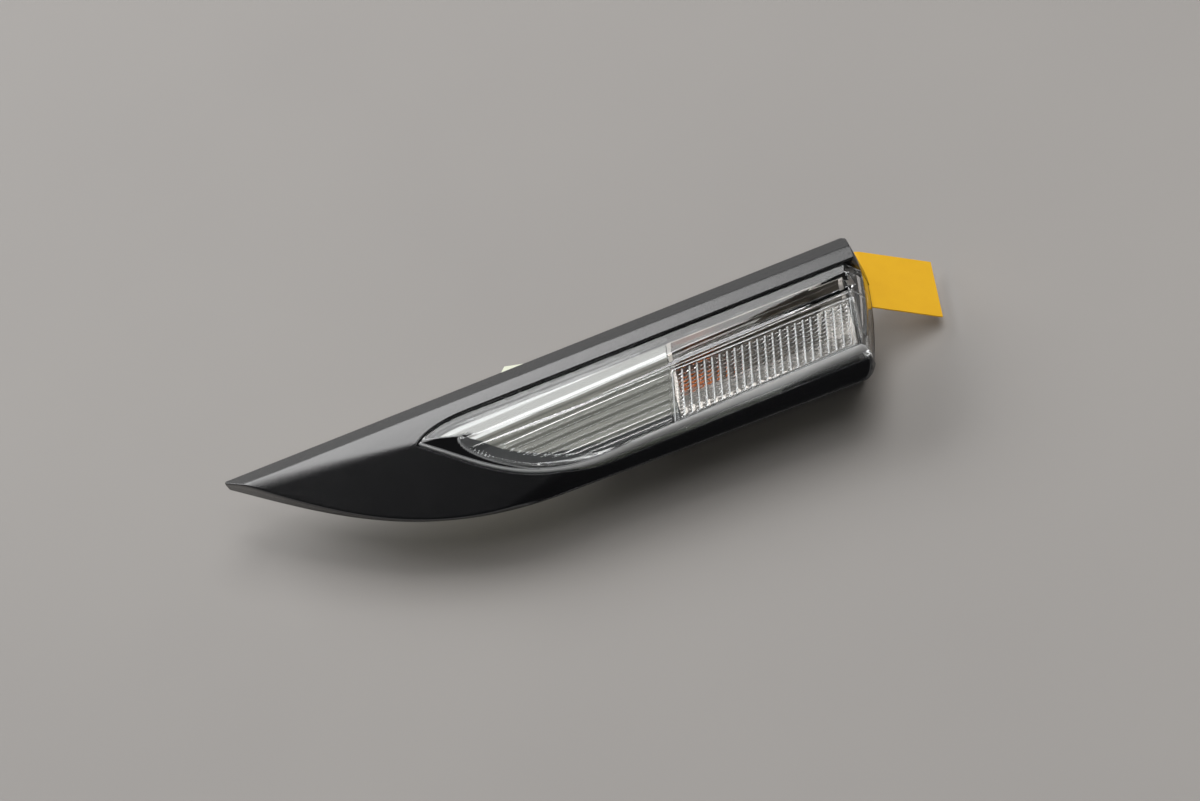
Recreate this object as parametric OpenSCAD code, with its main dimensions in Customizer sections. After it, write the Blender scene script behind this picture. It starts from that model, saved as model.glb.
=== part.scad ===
// Side repeater lamp: a blade-shaped black bezel round a clear optic lens,
// with a bulb chamber behind it and adhesive foam for fixing it to a body panel.
// The lamp's own frame has X from the nose to the lens end, Y across the lamp with the
// straight upper edge at 0, and Z outward from the body panel at 0.

/* [Bezel] */
// Length from the nose to the furthest point of the lens end
lamp_len = 175; // [165:1:185]
// Depth across the lamp where it is widest
lamp_depth = 40; // [38:0.5:43]
// Distance from the nose at which the lower edge runs straight
nose_len = 88; // [80:1:92]
// Height of the upper rear edge at the nose
nose_height = 3; // [2.8:0.1:4]
// Rise of the face towards the lens end, in degrees
face_rise = 2.1; // [1.8:0.1:2.6]
// Width of the chamfer along the upper edge
strip_w = 5.4; // [4.5:0.1:6]
// Height that the chamfer gains over its width
strip_rise = 2; // [1.5:0.1:2.4]
// Slope of the dark lower facet, in degrees
facet_slope = 17.8; // [16:0.2:18.6]
// Slope of the lower arm's outer face, in degrees
arm_slope = 41; // [36:1:45]
// Wall thickness of the bezel
bezel_wall = 2; // [1.6:0.1:2.4]

/* [Lens] */
// Distance from the nose to the lens tip
lens_tip_x = 56; // [54:0.5:60]
// Distance of the lens tip from the upper edge
lens_tip_y = 14.5; // [13.5:0.5:15.5]
// Width of the bezel's upper arm, up to the shut line
upper_arm_w = 9.8; // [9:0.1:10.4]
// Width of the shut line between the bezel and the lens
shut_gap = 0.5; // [0.3:0.1:0.7]
// Thickness of the lens face
lens_wall = 1.8; // [1.5:0.1:2]
// Thickness of the lens skirt
skirt_wall = 1.6; // [1.4:0.1:2]
// Pitch of the flutes in the left part
flute_pitch = 1.3; // [1.2:0.1:1.6]
// Depth of a flute
flute_depth = 0.35; // [0.2:0.05:0.4]
// Pitch of the ribs over the bulb chamber
rib_pitch = 2; // [1.8:0.1:2.6]
// Depth of a rib
rib_depth = 0.5; // [0.3:0.05:0.6]

/* [Housing] */
// Thickness of the housing's base plate
plate_t = 1.6; // [1.4:0.1:2]
// Wall thickness of the bulb chamber
chamber_wall = 1.6; // [1.4:0.1:2]
// Length of the bulb chamber behind the lens
chamber_len = 54; // [52:0.1:56]
// Thickness of the wall that carries the bulb holder
socket_wall = 2.4; // [2:0.1:2.6]
// Distance of the bulb's axis behind the panel
axis_drop = 7.3; // [7.3:0.1:8.5]
// Radius of the locating peg
peg_r = 2.4; // [2:0.1:3]
// Length of the locating peg behind the panel
peg_len = 7; // [5:0.5:9]

/* [Reflector] */
// Radius of the trough round the bulb
trough_r = 6; // [5.9:0.05:6.1]
// Thickness of the reflector
reflector_t = 1.1; // [0.9:0.1:1.2]

/* [Bulb and holder] */
// Radius of the bulb's glass
bulb_r = 5.1; // [4.9:0.05:5.15]
// Length of the bulb from its base to its dome
bulb_len = 25.8; // [24:0.2:26.8]
// Width of the bulb's wedge base
base_w = 9.5; // [9.2:0.1:9.6]
// Thickness of the bulb's wedge base
base_t = 2.1; // [1.9:0.1:2.3]
// Length of the bulb's wedge base
base_len = 9; // [8.5:0.1:9.5]
// Radius of the holder's nose
holder_r = 5.95; // [5.8:0.05:6]
// Running clearance between the holder's nose and its bore
holder_fit = 0.2; // [0.15:0.05:0.3]
// Radius of the holder's flange
flange_r = 7.5; // [7.3:0.1:7.5]
// Thickness of the holder's flange
flange_t = 2; // [1.6:0.1:2.4]
// Thickness of the rubber ring under the flange
gasket_t = 1; // [0.8:0.1:1.4]
// Length of the connector shroud behind the flange
shroud_len = 18; // [16:0.5:20]
// Width of the connector shroud
shroud_w = 11.8; // [11:0.1:12]
// Height of the connector shroud
shroud_h = 8.2; // [8:0.1:8.6]
// Wall of the connector shroud
shroud_wall = 1.2; // [1:0.1:1.3]
// Width of a contact strip
contact_w = 2; // [1.6:0.1:2.4]
// Thickness of a contact strip
contact_t = 0.5; // [0.4:0.05:0.6]

/* [Fixing] */
// Thickness of the adhesive foam
tape_t = 0.8; // [0.6:0.1:1.2]
// Thickness of the release liner
liner_t = 0.2; // [0.15:0.05:0.25]
// Width of the pull tab
tab_w = 18.2; // [15:0.2:19]
// Length of the free part of the pull tab
tab_len = 21.4; // [16:0.2:24]
// Thickness of the pull tab
tab_t = 0.35; // [0.25:0.05:0.4]
// Slope at which the free part of the tab hangs, in degrees
tab_droop = 41; // [20:1:45]
// Distance from the upper edge to the centres of the screws
screw_y = 5.2; // [5:0.1:5.4]
// Radius of a screw's shank
screw_r = 1.2; // [1:0.05:1.3]
// Length of a screw
screw_len = 5.4; // [5:0.1:6]

/* [Hidden] */
$fn = 64;
eps = 0.01;
big = 400;

// The part's origin lies on the outer face of the release film, under the upper foam strip.
ref_x = 90;
ref_y = 6;

// Clearance between the housing's plate and the bezel's skirt
plate_fit = 0.3;
// Height of the bezel's skirt above the panel
skirt_lift = 0.3;
plate_top = tape_t + plate_t;

// The bulb chamber ends short of the lens end. The bulb lies in it, along the lamp.
chamber_inset = 9;
chamber_end = lamp_len - chamber_inset;
chamber_x = chamber_end - chamber_len;
axis_y = upper_arm_w + 10.2;

// Points along a cubic curve, moved sideways by d to the left of its run
curve_steps = 12;
function bend(a, b, c, d, t) =
    pow(1 - t, 3) * a + 3 * t * pow(1 - t, 2) * b + 3 * t * t * (1 - t) * c + pow(t, 3) * d;
function run(a, b, c, d, t) =
    pow(1 - t, 2) * (b - a) + 2 * t * (1 - t) * (c - b) + t * t * (d - c);
function unit(v) = v / norm(v);
function left_of(v) = [-v[1], v[0]];
function beside(pts, d) = [for (i = [0:curve_steps]) let (t = i / curve_steps)
    bend(pts[0], pts[1], pts[2], pts[3], t)
    + d * left_of(unit(run(pts[0], pts[1], pts[2], pts[3], t)))];

// The lens end bulges a little: its x depends on the distance from the upper edge.
end_peak = 11;
end_sweep_up = 1.9;
end_sweep_low = 2.4;
end_sweep_run = 23;
function end_x(y) = lamp_len - (y < end_peak
    ? end_sweep_up * pow((end_peak - y) / end_peak, 2)
    : end_sweep_low * pow((y - end_peak) / end_sweep_run, 2));

// Plan of the whole lamp, moved in by d: the body's edge and the curved nose meet in it
nose_w = 0.9;
nose_bulge = 36;
end_taper = 7;
end_depth = lamp_depth - 1.8;
top_corner_r = 1.6;
low_corner_r = 4;
far = 40;
low_slope = (lamp_depth - end_depth) / (lamp_len - end_taper - nose_len);
nose_curve = [[0, -nose_w], [0.3 * nose_len, -0.5 * lamp_depth],
    [nose_len - nose_bulge, -lamp_depth], [nose_len, -lamp_depth]];
function body_edge(d) = let (r1 = max(top_corner_r - d, 0.1), r2 = max(low_corner_r - d, 0.1))
    concat([[d, -d]],
        [for (a = [90:-30:0]) [end_x(0) - d - r1 + r1 * cos(a), -d - r1 + r1 * sin(a)]],
        [for (i = [1:6]) let (y = end_peak * 0.4 * i) [end_x(y) - d, -y]],
        [for (a = [0:-18:-90]) [end_x(end_depth) - d - r2 + r2 * cos(a), d + r2 - end_depth + r2 * sin(a)]],
        [[d, d - lamp_depth - low_slope * nose_len]]);
function nose_edge(d) = let (line = beside(nose_curve, d), start = unit(nose_curve[1] - nose_curve[0]))
    concat([line[0] - far * start], line,
        [[lamp_len + far, d - lamp_depth], [lamp_len + far, far], [-far, far]]);

module lamp_plan(d, low, high) {
    intersection() {
        translate([0, 0, low]) linear_extrude(high - low) polygon(body_edge(d));
        translate([0, 0, low - 1]) linear_extrude(high - low + 2) polygon(nose_edge(d));
    }
}

// Plan of the lens, moved in by d: its upper edge, lower edge and end meet in it
lens_top_y = upper_arm_w + shut_gap;
low_arm_w = 3.2;
lens_low_y = lamp_depth - low_arm_w;
lens_turn_x = lens_tip_x + 48;
lens_end_y = end_depth - low_arm_w - 1;
lens_top_curve = [[lens_tip_x, -lens_tip_y], [lens_tip_x + 2.2, -lens_tip_y + 2.6],
    [lens_tip_x + 7, -lens_top_y], [lens_tip_x + 14, -lens_top_y]];
lens_low_curve = [[lens_tip_x, -lens_tip_y], [lens_tip_x + 15, -lens_tip_y - 11],
    [lens_tip_x + 26, -lens_low_y], [lens_turn_x, -lens_low_y]];
lens_low_slope = (lens_low_y - lens_end_y) / (lamp_len - 2 - lens_turn_x);
function lens_top_edge(d) = let (line = beside(lens_top_curve, -d),
    start = unit(lens_top_curve[1] - lens_top_curve[0]))
    concat([line[0] - far * start], line,
        [[lamp_len + far, -lens_top_y - d], [lamp_len + far, -2 * far], [-far, -2 * far]]);
function lens_low_edge(d) = let (line = beside(lens_low_curve, d),
    start = unit(lens_low_curve[1] - lens_low_curve[0]))
    concat([line[0] - far * start], line,
        [[lamp_len + far, d - lens_low_y], [lamp_len + far, far], [-far, far]]);
function lens_end_edge(d) = concat([[0, 0]],
    [for (i = [0:6]) let (y = (lens_end_y - d) * i / 6) [end_x(y) - d, -y]],
    [[0, d - lens_low_y - lens_low_slope * lens_turn_x]]);

module lens_plan(d, low, high) {
    intersection() {
        translate([0, 0, low]) linear_extrude(high - low) polygon(lens_end_edge(d));
        translate([0, 0, low - 1]) linear_extrude(high - low + 2) polygon(lens_top_edge(d));
        translate([0, 0, low - 2]) linear_extrude(high - low + 4) polygon(lens_low_edge(d));
    }
}

// A solid frame that follows the rise of the face
module face_frame(yaw = 0) {
    translate([0, 0, nose_height]) rotate([0, -face_rise, 0]) rotate([0, 0, yaw]) children();
}

// Everything under a profile of [y, z] points, swept along the rising face
module under_profile(points, drop = 0) {
    low = [[points[len(points) - 1][0], -60], [points[0][0], -60]];
    translate([0, 0, -drop]) rotate([90, 0, 90]) translate([0, 0, -big / 2])
        linear_extrude(big) polygon(concat(points, low));
}

// Everything above a plane through a point, turned by yaw and sloping down towards -Y
module above_plane(point, yaw, rise, slope, drop) {
    translate(point) rotate([0, 0, yaw]) rotate([0, -rise, 0]) rotate([slope, 0, 0])
        translate([-big / 2, -big / 2, -drop]) cube([big, big, big]);
}

// Upper face of the bezel: chamfered strip, then the lit face
face_gain = 0.3;
face_profile = [[8, -8 * strip_rise / strip_w], [-strip_w, strip_rise],
    [-upper_arm_w, strip_rise + face_gain], [-2 * lamp_depth, strip_rise + face_gain]];
crease_start = [5.2, -strip_w, nose_height + strip_rise + 0.45];
crease_yaw = -10;
arm_edge = [nose_len, 0.6 - lens_low_y, 3.9];
arm_yaw = atan((lamp_depth - end_depth) / (lamp_len - nose_len));

// Outer form of the bezel, moved in by a wall thickness where asked
module bezel_form(wall = 0) {
    difference() {
        intersection() {
            lamp_plan(wall, wall > 0 ? -1 : skirt_lift, 30);
            face_frame() under_profile(face_profile, wall);
        }
        above_plane(crease_start, crease_yaw, face_rise, facet_slope, wall);
        above_plane(arm_edge, arm_yaw, 0, arm_slope, wall);
    }
}

// Flat piece that fits inside the bezel's skirt and under its sloping walls
module plate_form(gap, low, high) {
    difference() {
        intersection() {
            lamp_plan(bezel_wall + gap, low, high);
            face_frame() under_profile(face_profile, bezel_wall + gap);
        }
        above_plane(crease_start, crease_yaw, face_rise, facet_slope, bezel_wall + gap);
        above_plane(arm_edge, arm_yaw, 0, arm_slope, bezel_wall + gap);
    }
}

// Screws stand in bosses under the bezel's upper arm.
first_screw_x = lens_tip_x + 12;
last_screw_x = lamp_len - 9;
screw_xs = [first_screw_x, 0.53 * first_screw_x + 0.47 * last_screw_x, last_screw_x];
boss_r = 2.5;
head_r = 2.3;
head_h = 1.2;
screw_fit = 0.05;

module bezel() {
    color([0.07, 0.07, 0.075]) in_place() difference() {
        union() {
            difference() {
                bezel_form();
                bezel_form(bezel_wall);
            }
            intersection() {
                bezel_form(bezel_wall / 2);
                for (x = screw_xs) translate([x, -screw_y, plate_top]) cylinder(r = boss_r, h = 20);
            }
        }
        lens_plan(-shut_gap, -2, 38);
        for (x = screw_xs) translate([x, -screw_y, 0])
            cylinder(r = screw_r + screw_fit, h = tape_t + screw_len + 0.3);
    }
}

// Lens face: glossy upper band, step, main optic face, lower bevel
lens_yaw = 2.3;
band_low_y = 0.58 * lamp_depth;
optic_top_y = band_low_y + 1.9;
optic_low_y = lamp_depth - 0.4;
band_top_z = 0.1;
band_low_z = 2.6;
optic_top_z = 1.95;
optic_fall = 2.8;
bevel_run = 8;
bevel_slope = 60;
lens_profile = [[8, band_top_z], [-band_low_y, band_low_z], [-optic_top_y, optic_top_z],
    [-optic_low_y, optic_top_z - optic_fall],
    [-optic_low_y - bevel_run, optic_top_z - optic_fall - bevel_run * tan(bevel_slope)]];

// Outer form of the lens, moved in and lowered where asked
module lens_form(side = 0, drop = 0, foot = 0) {
    intersection() {
        lens_plan(side, foot, 30);
        face_frame(lens_yaw) under_profile(lens_profile, drop);
    }
}

// The optics cut into the inner face
seal_t = 0.6;
channel_depth = 1;
lens_foot = plate_top - channel_depth + seal_t;
rib_inset = 12.1;
ribs_x = chamber_x + rib_inset;
ribs_end_x = lamp_len - 5;
rib_slant = 6;
rib_shift = 2.6;
flute_end = ribs_x - 1;
optic_w = optic_low_y - optic_top_y;
flute_count = floor(optic_w / flute_pitch);
// Share of a flute's or rib's pitch at which its rounding is centred in the lens wall
round_share = 0.42;

// Everything between two distances from the nose, below the glossy upper band
module optic_field(low, high) {
    translate([low, -2 * lamp_depth, -big / 2]) cube([high - low, 2 * lamp_depth - optic_top_y + 4, big]);
}

module flutes() {
    intersection() {
        lens_form(skirt_wall, lens_wall - eps, lens_foot);
        optic_field(0, flute_end);
        face_frame(lens_yaw) translate([lens_tip_x, 0, 0]) for (i = [0:flute_count - 1])
            let (y = flute_pitch * (i + 0.5), z = optic_top_z - optic_fall * y / optic_w)
            translate([0, -optic_top_y - y, z - lens_wall + flute_pitch * round_share]) rotate([0, 90, 0])
                cylinder(r = flute_pitch * round_share + flute_depth, h = flute_end - lens_tip_x, $fn = 24);
    }
}

module ribs() {
    intersection() {
        lens_form(skirt_wall, lens_wall - eps, lens_foot);
        optic_field(ribs_x, ribs_end_x);
        for (x = [ribs_x + rib_pitch / 2:rib_pitch:ribs_end_x])
            face_frame(lens_yaw) translate([x, 0, 0]) rotate([0, 0, -rib_slant])
                translate([rib_shift, -optic_top_y, optic_top_z - lens_wall + rib_pitch * round_share])
                rotate([90 + atan(optic_fall / optic_w), 0, 0])
                cylinder(r = rib_pitch * round_share + rib_depth, h = optic_w + 1.5, $fn = 24);
    }
}

module lens() {
    color([0.9, 0.93, 0.95, 0.45]) in_place() union() {
        difference() {
            lens_form(0, 0, lens_foot);
            lens_form(skirt_wall, lens_wall, -1);
        }
        flutes();
        ribs();
    }
}

// Panel behind the flutes: a shallow tray turned over, standing on the plate
panel_air = 0.35;
panel_t = 0.9;
panel_end = ribs_x - 0.3;

module trim_panel() {
    drop = lens_wall + flute_depth + panel_air;
    color([0.62, 0.64, 0.6]) in_place() intersection() {
        difference() {
            lens_form(skirt_wall + 0.7, drop, plate_top);
            lens_form(skirt_wall + 0.7 + panel_t, drop + panel_t, plate_top - 1);
        }
        translate([0, -big / 2, 0]) cube([panel_end, big, 30]);
    }
}

// Reflector: a chromed trough round the bulb with a wide mouth under the ribs
trough_start = chamber_x + socket_wall + 3.2;
trough_end = chamber_end - chamber_wall - reflector_t - 0.3;
mouth_floor = plate_top + 0.8;
mouth_z = 5;
mouth_x = ribs_x + reflector_t;
mouth_end = ribs_end_x - 0.3;
mouth_top_y = lens_top_y + skirt_wall + 0.9;
mouth_low_y = lens_end_y - skirt_wall - 0.5;
rim_gap = 0.3;
rim_t = 1.2;

// Cross-section in Y and Z that is round under the bulb's axis and straight above it
function tub_section(r, top) = concat([[r - axis_y, top]],
    [for (a = [0:-9:-180]) [r * cos(a) - axis_y, r * sin(a) - axis_drop]], [[-r - axis_y, top]]);

module tub(r, low_x, high_x, top) {
    translate([low_x, 0, 0]) rotate([90, 0, 90]) linear_extrude(high_x - low_x)
        polygon(tub_section(r, top));
}

// Inside of the reflector, grown by a thickness
module trough(grow) {
    tub(trough_r + grow, trough_start - grow, trough_end + grow, mouth_floor + 0.1);
    translate([mouth_x - grow, 0, 0]) rotate([90, 0, 90])
        linear_extrude(mouth_end - mouth_x + 2 * grow) polygon([
            [grow - mouth_top_y, 20], [grow - mouth_top_y, mouth_z - grow],
            [grow + trough_r - axis_y, mouth_floor - grow], [-grow - trough_r - axis_y, mouth_floor - grow],
            [-grow - mouth_low_y, mouth_z - grow], [-grow - mouth_low_y, 20]]);
}

module reflector() {
    color([0.83, 0.84, 0.86]) in_place() difference() {
        intersection() {
            union() {
                trough(reflector_t);
                translate([ribs_x, -2 * lamp_depth, plate_top + 0.05])
                    cube([mouth_end + reflector_t - ribs_x, 2 * lamp_depth, rim_t]);
            }
            union() {
                intersection() {
                    lens_form(skirt_wall + 0.5, lens_wall + rib_depth + rim_gap, plate_top + 0.05);
                    translate([ribs_x, -big / 2, 0]) cube([big, big, 40]);
                }
                for (run = [[trough_start - 5, ribs_x + 1, plate_top - 0.05],
                        [ribs_x, trough_end + reflector_t + 0.05, mouth_floor + 0.1]])
                    translate([run[0], 0.1 - chamber_in_y[1], -big / 2])
                        cube([run[1] - run[0], chamber_in_y[1] - chamber_in_y[0] - 0.2, big / 2 + run[2]]);
            }
        }
        trough(0);
        on_axis(trough_start - 3) cylinder(r = bulb_r + 0.8, h = 8);
    }
}

// Bead of sealant in the housing's channel, under the lens skirt
module sealant_bead() {
    color([0.12, 0.12, 0.13]) in_place() difference() {
        lens_plan(0.1, plate_top - channel_depth, lens_foot);
        lens_plan(skirt_wall - 0.1, plate_top - 3, lens_foot + 3);
    }
}

// Chamber behind the plate: radius of its inside, and the inner faces of its side walls
chamber_r = trough_r + reflector_t + 0.2;
chamber_in_y = [axis_y - chamber_r, axis_y + chamber_r];
bore_r = holder_r + holder_fit;
peg_x = nose_len * 0.36;
peg_y = 12;
slot_w = 3.4;
lug_w = 2.9;
lug_reach = 6.8;
vent_r = 3.6;
vent_lift = 0.8;
vent_seat = 0.4;
vent_t = 0.3;

// Peg that finds the hole in the body panel: tapered tip, round shank, flared root
peg_tip = 1;
peg_flare = 1;
root_r = peg_r + 0.8;
module locating_peg() {
    translate([0, 0, -peg_len]) cylinder(r1 = peg_r - 0.8, r2 = peg_r, h = peg_tip);
    translate([0, 0, peg_tip - peg_len]) cylinder(r = peg_r, h = peg_len - peg_tip - peg_flare);
    translate([0, 0, -peg_flare]) cylinder(r1 = peg_r, r2 = root_r, h = peg_flare);
    cylinder(r = root_r, h = tape_t + eps);
}

module housing() {
    color([0.1, 0.1, 0.11]) in_place() difference() {
        union() {
            plate_form(plate_fit, tape_t, plate_top);
            lens_plan(0.15, tape_t, plate_top);
            tub(chamber_r + chamber_wall, chamber_x, chamber_end, tape_t + eps);
            translate([peg_x, -peg_y, 0]) locating_peg();
            on_axis(chamber_end - eps) cylinder(r = vent_r + 1, h = vent_lift + eps);
        }
        // Bulb chamber
        tub(chamber_r, chamber_x + socket_wall, chamber_end - chamber_wall, 40);
        // Bayonet bore with its two slots
        translate([chamber_x - 1, -axis_y, -axis_drop]) rotate([0, 90, 0]) {
            cylinder(r = bore_r, h = socket_wall + 2);
            rotate([0, 0, -45]) translate([-lug_reach - 0.3, -slot_w / 2, 0])
                cube([2 * lug_reach + 0.6, slot_w, socket_wall + 2]);
        }
        // Channel for the lens skirt
        difference() {
            lens_plan(-0.3, plate_top - channel_depth, 12);
            lens_plan(skirt_wall + 0.3, -2, 15);
        }
        // Screw holes, sunk for the heads
        for (x = screw_xs) translate([x, -screw_y, tape_t]) {
            translate([0, 0, -1]) cylinder(r = screw_r + 0.3, h = 10);
            translate([0, 0, -eps]) cylinder(r1 = head_r + 0.1, r2 = screw_r + 0.3, h = head_h);
        }
        // Breather hole and the seat of its membrane
        on_axis(chamber_end - chamber_wall - 1) cylinder(r = 1, h = 10);
        on_axis(chamber_end + vent_seat) cylinder(r = vent_r + 0.1, h = 2);
    }
}

module breather_membrane() {
    color([0.85, 0.85, 0.82]) in_place()
        on_axis(chamber_end + vent_seat) cylinder(r = vent_r, h = vent_t);
}

// Countersunk self-tapping screw with a cross recess
module housing_screw(x) {
    color([0.7, 0.71, 0.73]) in_place() translate([x, -screw_y, tape_t]) difference() {
        union() {
            cylinder(r1 = head_r, r2 = screw_r, h = head_h);
            cylinder(r = screw_r, h = screw_len - 1);
            translate([0, 0, screw_len - 1]) cylinder(r1 = screw_r, r2 = 0.2, h = 1);
        }
        for (a = [0, 90]) rotate([0, 0, a]) translate([-1.2, -0.25, -1]) cube([2.4, 0.5, 1.7]);
    }
}

// Everything on the bulb's axis is drawn with local z along the bulb.
flange_x = chamber_x - gasket_t - 0.05;
nose_end = chamber_x + socket_wall + 2.1;
base_end = nose_end;
base_start = base_end - base_len;

module on_axis(x) {
    translate([x, -axis_y, -axis_drop]) rotate([0, 90, 0]) children();
}

module bulb() {
    color([0.95, 0.5, 0.08]) in_place() union() {
        on_axis(base_end) rotate_extrude() polygon(concat([[0, 0], [3.4, 0], [bulb_r, 1.8]],
            [for (a = [0:10:90]) [bulb_r * cos(a), bulb_len - base_len - bulb_r * 0.75
                + bulb_r * 0.75 * sin(a)]]));
        on_axis(base_start) translate([-base_t / 2, -base_w / 2, 0])
            cube([base_t, base_w, base_len + 0.5]);
    }
}

// Wire from the bulb, folded flat along one face of the base
lead_t = 0.3;
module bulb_lead(side) {
    color([0.75, 0.75, 0.72]) in_place() on_axis(base_start) {
        translate([side > 0 ? base_t / 2 : -base_t / 2 - lead_t, side * 2.5 - 0.25, 0])
            cube([lead_t, 0.5, 6]);
        translate([side > 0 ? 0.2 : -base_t / 2 - lead_t, side * 2.5 - 0.25, -lead_t])
            cube([base_t / 2 + lead_t - 0.2, 0.5, lead_t]);
    }
}

contact_off = base_t / 2 + lead_t;
pin_start = flange_x - flange_t - shroud_len + 5;

// Contact strip beside the base, run on into the connector as a blade
module contact(side) {
    color([0.78, 0.62, 0.3]) in_place() on_axis(pin_start)
        translate([side > 0 ? contact_off : -contact_off - contact_t, side * 2.5 - contact_w / 2, 0])
        cube([contact_t, contact_w, base_end - 1 - pin_start]);
}

module bulb_holder() {
    color([0.16, 0.16, 0.17]) in_place() difference() {
        union() {
            on_axis(flange_x) cylinder(r = holder_r, h = nose_end - flange_x);
            on_axis(flange_x - flange_t) cylinder(r = flange_r, h = flange_t);
            on_axis(flange_x - flange_t - shroud_len)
                translate([-shroud_h / 2, -shroud_w / 2, 0]) cube([shroud_h, shroud_w, shroud_len + eps]);
            on_axis(chamber_x + socket_wall + 0.3) translate([-lug_reach, -lug_w / 2, 0])
                cube([2 * lug_reach, lug_w, 1.5]);
        }
        // Slot for the wedge base, its wires and the contact strips
        on_axis(base_start - 0.5) translate([-base_t / 2 - 0.05, -base_w / 2 - 0.1, 0])
            cube([base_t + 0.1, base_w + 0.2, 30]);
        on_axis(base_start - 0.5) for (side = [-1, 1])
            translate([side > 0 ? 0 : -contact_off - 0.05, side * 2.5 - 0.4, 0])
            cube([contact_off + 0.05, 0.8, 30]);
        on_axis(pin_start - 1) for (side = [-1, 1])
            translate([side > 0 ? contact_off - 0.03 : -contact_off - contact_t - 0.03,
                side * 2.5 - contact_w / 2 - 0.03, 0])
            cube([contact_t + 0.06, contact_w + 0.06, 40]);
        // Socket of the connector
        on_axis(flange_x - flange_t - shroud_len - 1)
            translate([-shroud_h / 2 + shroud_wall, -shroud_w / 2 + shroud_wall, 0])
            cube([shroud_h - 2 * shroud_wall, shroud_w - 2 * shroud_wall, 12]);
    }
}

module holder_gasket() {
    color([0.2, 0.2, 0.2]) in_place() on_axis(flange_x) difference() {
        cylinder(r = flange_r, h = gasket_t);
        translate([0, 0, -1]) cylinder(r = holder_r + 0.05, h = gasket_t + 2);
    }
}

// Adhesive foam on the back of the plate
ring_w = 2.2;
ring_box = [[chamber_x - 28, -chamber_in_y[1] - chamber_wall - 0.3],
    [chamber_end + 0.5, -chamber_in_y[0] + chamber_wall + 0.3]];
ring_top_y = -ring_box[1][1];
nose_pad_x = 6;
nose_pad_end = first_screw_x - 8.2;

tape_top_y = bezel_wall + plate_fit + 0.4;
tape_low_y = lens_top_y - 0.8;
module tape_upper() {
    color([0.14, 0.14, 0.14]) in_place() difference() {
        translate([nose_pad_end + 1, -tape_low_y, 0])
            cube([bend_x - tab_root - nose_pad_end - 2, tape_low_y - tape_top_y, tape_t]);
        for (x = screw_xs) translate([x, -screw_y, -1]) cylinder(r = head_r + 0.5, h = 3);
    }
}

module tape_nose() {
    color([0.14, 0.14, 0.14]) in_place() difference() {
        intersection() {
            plate_form(plate_fit + 0.5, 0, tape_t);
            translate([nose_pad_x, -big / 2, -1]) cube([nose_pad_end - nose_pad_x, big, 5]);
        }
        translate([peg_x, -peg_y, -1]) cylinder(r = root_r + 0.4, h = 3);
        for (x = screw_xs) translate([x, -screw_y, -1]) cylinder(r = head_r + 0.5, h = 3);
    }
}

module tape_ring() {
    ring_top = min(ring_w, ring_top_y - tape_low_y - 0.1);
    color([0.14, 0.14, 0.14]) in_place() intersection() {
        plate_form(plate_fit + 0.3, 0, tape_t);
        difference() {
            translate([ring_box[0][0] - ring_w, ring_box[0][1] - ring_w, -1])
                cube([ring_box[1][0] - ring_box[0][0] + ring_w + 5,
                    ring_box[1][1] - ring_box[0][1] + ring_w + ring_top, 5]);
            window(-2, 8);
        }
    }
}

// Window of the film and the ring, round the chamber and the holder
module window(low, high) {
    translate([ring_box[0][0], ring_box[0][1], low])
        cube([ring_box[1][0] - ring_box[0][0], ring_box[1][1] - ring_box[0][1], high - low]);
}

// Film over all the foam, with one corner left long for peeling
film_corner = [[71, -4], [78.4, 6.8], [84.6, 5.2], [88, -4]];
module release_liner() {
    color([0.9, 0.93, 0.72]) in_place() difference() {
        union() {
            lamp_plan(bezel_wall + plate_fit + 0.2, -liner_t, 0);
            translate([0, 0, -liner_t]) linear_extrude(liner_t) polygon(film_corner);
        }
        translate([bend_x - tab_lap, -big / 2, -2]) cube([big, big, 4]);
        window(-2, 2);
        translate([peg_x, -peg_y, -1]) cylinder(r = root_r + 0.4, h = 3);
    }
}

// Paper-faced tab: stuck to the film beside the foam, then bent down past the lens end
tab_top = 2.4;
tab_root = 11;
tab_lap = 0.5;
bend_x = lamp_len - 3.6;
bend_r = 4;
bend_steps = 5;
tab_free = tab_len - bend_r * sin(tab_droop);
tab_wide_x = lamp_len - bezel_wall - 0.2;

// One side of the tab seen from its edge, at a radius from the centre of the bend
function tab_side(r) = concat([[bend_x - tab_root, r]],
    [for (i = [0:bend_steps]) let (a = tab_droop * i / bend_steps) [bend_x + r * sin(a), r * cos(a)]],
    [[bend_x + r * sin(tab_droop) + tab_free * cos(tab_droop), r * cos(tab_droop) - tab_free * sin(tab_droop)]]);

module pull_tab() {
    upper = tab_side(bend_r + tab_t);
    lower = tab_side(bend_r);
    color([0.93, 0.74, 0.06]) in_place() difference() {
        translate([0, tab_top, -bend_r]) rotate([90, 0, 0]) linear_extrude(tab_w)
            polygon(concat(upper, [for (i = [len(lower) - 1:-1:0]) lower[i]]));
        // Narrow root between the foam strip and the foam ring
        translate([tab_wide_x - big, -tape_top_y, -big / 2]) cube(big);
        translate([tab_wide_x - big, -tape_low_y - big, -big / 2]) cube(big);
    }
}

// Moves a piece from the lamp's own frame to the part's frame
module in_place() {
    translate([-ref_x, ref_y, liner_t]) children();
}

bezel();
lens();
trim_panel();
reflector();
sealant_bead();
housing();
breather_membrane();
housing_screw(screw_xs[0]);  // housing_screw_1
housing_screw(screw_xs[1]);  // housing_screw_2
housing_screw(screw_xs[2]);  // housing_screw_3
bulb();
bulb_lead(1);  // bulb_lead_1
bulb_lead(-1);  // bulb_lead_2
bulb_holder();
holder_gasket();
contact(1);  // contact_1
contact(-1);  // contact_2
tape_upper();
tape_nose();
tape_ring();
release_liner();
pull_tab();
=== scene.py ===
import math

import bmesh
import bpy
import numpy as np
from mathutils import Matrix, Vector


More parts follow.
